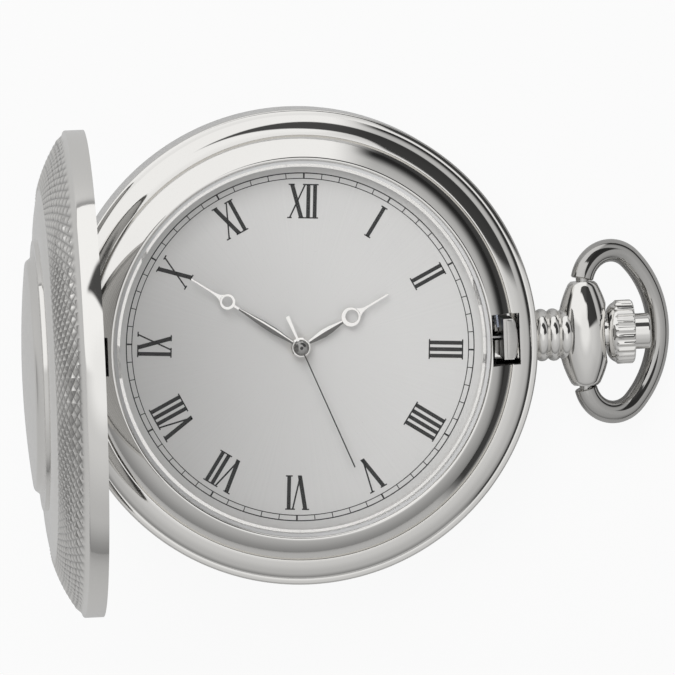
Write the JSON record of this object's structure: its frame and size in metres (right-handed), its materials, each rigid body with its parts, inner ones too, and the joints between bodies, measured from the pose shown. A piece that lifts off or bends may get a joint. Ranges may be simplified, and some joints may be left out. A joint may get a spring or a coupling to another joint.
{
  "type": "pocket watch",
  "caption": "Pocket watch in a polished hunter case: hinged lid open, silvered dial with roman numerals and hands, fluted crown with release button, and a swinging bow.",
  "frame": {"origin": "on the case axis, at the flat of the back that the watch lies on", "axes": "+X out through the crown, +Y towards twelve o'clock, +Z out of the dial"},
  "size_m": [0.0671, 0.048, 0.0562],
  "materials": {
    "polished_case": "mirror polished",
    "gasket_rubber": "matte",
    "gasket_nylon": "satin",
    "glass": "clear",
    "spring_steel": "satin",
    "steel": "satin",
    "dial_silver": "satin silvered",
    "hand_silver": "polished",
    "brass": "satin",
    "board_green": "matte",
    "copper_wire": "enamelled",
    "battery_steel": "satin"
  },
  "bodies": {
    "case": {"back_cover": "polished_case", "back_gasket": "gasket_rubber", "case_middle": "polished_case", "pendant": "polished_case", "bezel": "polished_case", "crystal_gasket": "gasket_nylon", "crystal": "glass", "lid_spring": "spring_steel", "latch_spring": "spring_steel", "hinge_pin": "steel", "movement_ring": "gasket_nylon", "main_plate": "brass", "train_bridge": "brass", "bridge_screws": "steel", "circuit_board": "board_green", "quartz_can": "battery_steel", "coil": "copper_wire", "stator": "steel", "battery": "battery_steel", "battery_strap": "brass", "dial": "dial_silver"},
    "lid": {"lid_shell": "polished_case", "lid_disc": "polished_case", "lid_catch": "steel"},
    "bow": {"bow": "polished_case"},
    "setting_lever": {"setting_lever": "steel"},
    "crown": {"crown": "polished_case", "crown_gasket": "gasket_rubber", "button_spring": "spring_steel"},
    "stem": {"release_button": "polished_case", "winding_stem": "steel", "clutch_wheel": "brass"},
    "latch": {"latch": "steel"},
    "seconds": {"seconds_wheel": "brass", "seconds_hand": "hand_silver"},
    "third": {"third_wheel": "brass"},
    "minute": {"minute_wheel": "brass", "minute_hand": "hand_silver"},
    "motion": {"motion_wheel": "brass"},
    "hour": {"hour_wheel": "brass", "hour_hand": "hand_silver"},
    "step": {"step_wheel": "brass"},
    "rotor": {"rotor": "steel"}
  },
  "joints": [
    {"name": "lid_swing", "type": "hinge", "parent": "case", "child": "lid", "pos_m": [-0.0232, 0, 0.00895], "axis": [0, 1, 0], "range_deg": [0, 90]},
    {"name": "bow_swing", "type": "hinge", "parent": "case", "child": "bow", "pos_m": [0.02895, 0, 0.005], "axis": [0, 1, 0], "range_deg": [-115.9, 64.1]},
    {"name": "crown_pull", "type": "slide", "parent": "case", "child": "setting_lever", "axis": [1, 0, 0], "range_m": [0, 0.001]},
    {"name": "crown_turn", "type": "hinge", "parent": "setting_lever", "child": "crown", "pos_m": [0.0329, 0, 0.005], "axis": [1, 0, 0], "continuous": true},
    {"name": "button_press", "type": "slide", "parent": "crown", "child": "stem", "axis": [-1, 0, 0], "range_m": [0, 0.0008], "stiffness_N_per_m": 1500, "deforming": ["button_spring"]},
    {"name": "latch_slide", "type": "slide", "parent": "case", "child": "latch", "axis": [-1, 0, 0], "range_m": [0, 0.0008], "deforming": ["latch_spring"]},
    {"name": "seconds_turn", "type": "hinge", "parent": "case", "child": "seconds", "pos_m": [0, 0, 0.004], "axis": [0, 0, -1], "continuous": true},
    {"name": "third_turn", "type": "hinge", "parent": "case", "child": "third", "pos_m": [-0.00053, 0.00301, 0.004], "axis": [0, 0, -1], "continuous": true},
    {"name": "minute_turn", "type": "hinge", "parent": "case", "child": "minute", "pos_m": [0, 0, 0.004], "axis": [0, 0, -1], "continuous": true},
    {"name": "motion_turn", "type": "hinge", "parent": "case", "child": "motion", "pos_m": [-0.00282, -0.00103, 0.004], "axis": [0, 0, -1], "continuous": true},
    {"name": "hour_turn", "type": "hinge", "parent": "case", "child": "hour", "pos_m": [0, 0, 0.004], "axis": [0, 0, -1], "continuous": true},
    {"name": "step_turn", "type": "hinge", "parent": "case", "child": "step", "pos_m": [0.00293, 0.00107, 0.004], "axis": [0, 0, -1], "continuous": true},
    {"name": "rotor_turn", "type": "hinge", "parent": "case", "child": "rotor", "pos_m": [0.00465, -0.00014, 0.004], "axis": [0, 0, -1], "continuous": true}
  ],
  "couplings": [
    {"joint": "latch_slide", "follows": "button_press", "ratio": 1},
    {"joint": "third_turn", "follows": "seconds_turn", "ratio": -0.13333},
    {"joint": "minute_turn", "follows": "seconds_turn", "ratio": 0.016667},
    {"joint": "motion_turn", "follows": "seconds_turn", "ratio": -0.0055556},
    {"joint": "hour_turn", "follows": "seconds_turn", "ratio": 0.0013889},
    {"joint": "step_turn", "follows": "seconds_turn", "ratio": -5},
    {"joint": "rotor_turn", "follows": "seconds_turn", "ratio": 30}
  ]
}
